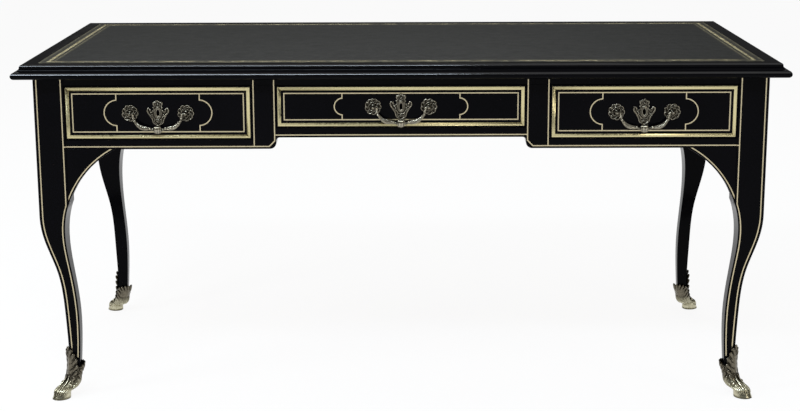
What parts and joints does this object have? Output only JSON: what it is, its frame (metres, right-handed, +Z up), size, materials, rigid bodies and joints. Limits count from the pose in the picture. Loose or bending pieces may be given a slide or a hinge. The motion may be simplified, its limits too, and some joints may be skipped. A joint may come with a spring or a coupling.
{
  "type": "writing desk",
  "caption": "Cabriole-leg writing desk with a leather-inset moulded top, locking frieze drawers with swinging bail handles, brass line inlay and hoof-shaped bronze feet.",
  "frame": {"origin": "on the floor, under the middle of the top", "axes": "+X to the right of someone facing the drawers, +Y from the drawers to the back, +Z up"},
  "size_m": [1.7, 0.86, 0.78],
  "materials": {
    "black_lacquer": "high-gloss black lacquer",
    "oak_lining": "waxed oak",
    "inlay_brass": "aged polish",
    "patinated_bronze": "dark patina rubbed bright on the high places",
    "lock_brass": "filed",
    "lock_steel": "filed",
    "tooled_leather": "waxed, with a gilt tooled border"
  },
  "bodies": {
    "carcass": {"top_moulding": "black_lacquer", "top_panel": "black_lacquer", "knee_brackets": "black_lacquer", "front_top_rail": "black_lacquer", "front_lower_rails": "black_lacquer", "drawer_dividers": "black_lacquer", "side_apron_left": "black_lacquer", "side_apron_right": "black_lacquer", "back_apron": "black_lacquer", "writing_leather": "tooled_leather", "partitions": "oak_lining", "drawer_runners": "oak_lining", "drawer_kickers": "oak_lining", "leg_stringing": "inlay_brass", "apron_stringing": "inlay_brass", "apron_brass_frames": "inlay_brass", "leg_front_left": "black_lacquer", "sabot_front_left": "patinated_bronze", "leg_front_right": "black_lacquer", "sabot_front_right": "patinated_bronze", "leg_rear_left": "black_lacquer", "sabot_rear_left": "patinated_bronze", "leg_rear_right": "black_lacquer", "sabot_rear_right": "patinated_bronze"},
    "left_drawer": {"left_drawer_front": "black_lacquer", "left_drawer_sides": "oak_lining", "left_drawer_back": "oak_lining", "left_drawer_bottom": "oak_lining", "left_drawer_brass_frame": "inlay_brass", "left_drawer_stringing": "inlay_brass", "left_rosettes": "patinated_bronze", "left_handle_posts": "patinated_bronze", "left_escutcheon": "patinated_bronze", "left_lock_case": "lock_brass"},
    "left_handle": {"left_bail": "patinated_bronze"},
    "left_bolt": {"left_lock_bolt": "lock_steel"},
    "centre_drawer": {"centre_drawer_front": "black_lacquer", "centre_drawer_sides": "oak_lining", "centre_drawer_back": "oak_lining", "centre_drawer_bottom": "oak_lining", "centre_drawer_brass_frame": "inlay_brass", "centre_drawer_stringing": "inlay_brass", "centre_rosettes": "patinated_bronze", "centre_handle_posts": "patinated_bronze", "centre_escutcheon": "patinated_bronze", "centre_lock_case": "lock_brass"},
    "centre_handle": {"centre_bail": "patinated_bronze"},
    "centre_bolt": {"centre_lock_bolt": "lock_steel"},
    "right_drawer": {"right_drawer_front": "black_lacquer", "right_drawer_sides": "oak_lining", "right_drawer_back": "oak_lining", "right_drawer_bottom": "oak_lining", "right_drawer_brass_frame": "inlay_brass", "right_drawer_stringing": "inlay_brass", "right_rosettes": "patinated_bronze", "right_handle_posts": "patinated_bronze", "right_escutcheon": "patinated_bronze", "right_lock_case": "lock_brass"},
    "right_handle": {"right_bail": "patinated_bronze"},
    "right_bolt": {"right_lock_bolt": "lock_steel"}
  },
  "joints": [
    {"name": "left_drawer_slide", "type": "slide", "parent": "carcass", "child": "left_drawer", "axis": [0, -1, 0], "range_m": [0, 0.42]},
    {"name": "left_bail_swing", "type": "hinge", "parent": "left_drawer", "child": "left_handle", "pos_m": [-0.5365, -0.402, 0.67], "axis": [-1, 0, 0], "range_deg": [0, 95]},
    {"name": "left_bolt_throw", "type": "slide", "parent": "left_drawer", "child": "left_bolt", "axis": [0, 0, 1], "range_m": [0, 0.007]},
    {"name": "centre_drawer_slide", "type": "slide", "parent": "carcass", "child": "centre_drawer", "axis": [0, -1, 0], "range_m": [0, 0.42]},
    {"name": "centre_bail_swing", "type": "hinge", "parent": "centre_drawer", "child": "centre_handle", "pos_m": [0, -0.402, 0.683], "axis": [-1, 0, 0], "range_deg": [0, 95]},
    {"name": "centre_bolt_throw", "type": "slide", "parent": "centre_drawer", "child": "centre_bolt", "axis": [0, 0, 1], "range_m": [0, 0.007]},
    {"name": "right_drawer_slide", "type": "slide", "parent": "carcass", "child": "right_drawer", "axis": [0, -1, 0], "range_m": [0, 0.42]},
    {"name": "right_bail_swing", "type": "hinge", "parent": "right_drawer", "child": "right_handle", "pos_m": [0.5365, -0.402, 0.67], "axis": [-1, 0, 0], "range_deg": [0, 95]},
    {"name": "right_bolt_throw", "type": "slide", "parent": "right_drawer", "child": "right_bolt", "axis": [0, 0, 1], "range_m": [0, 0.007]}
  ]
}
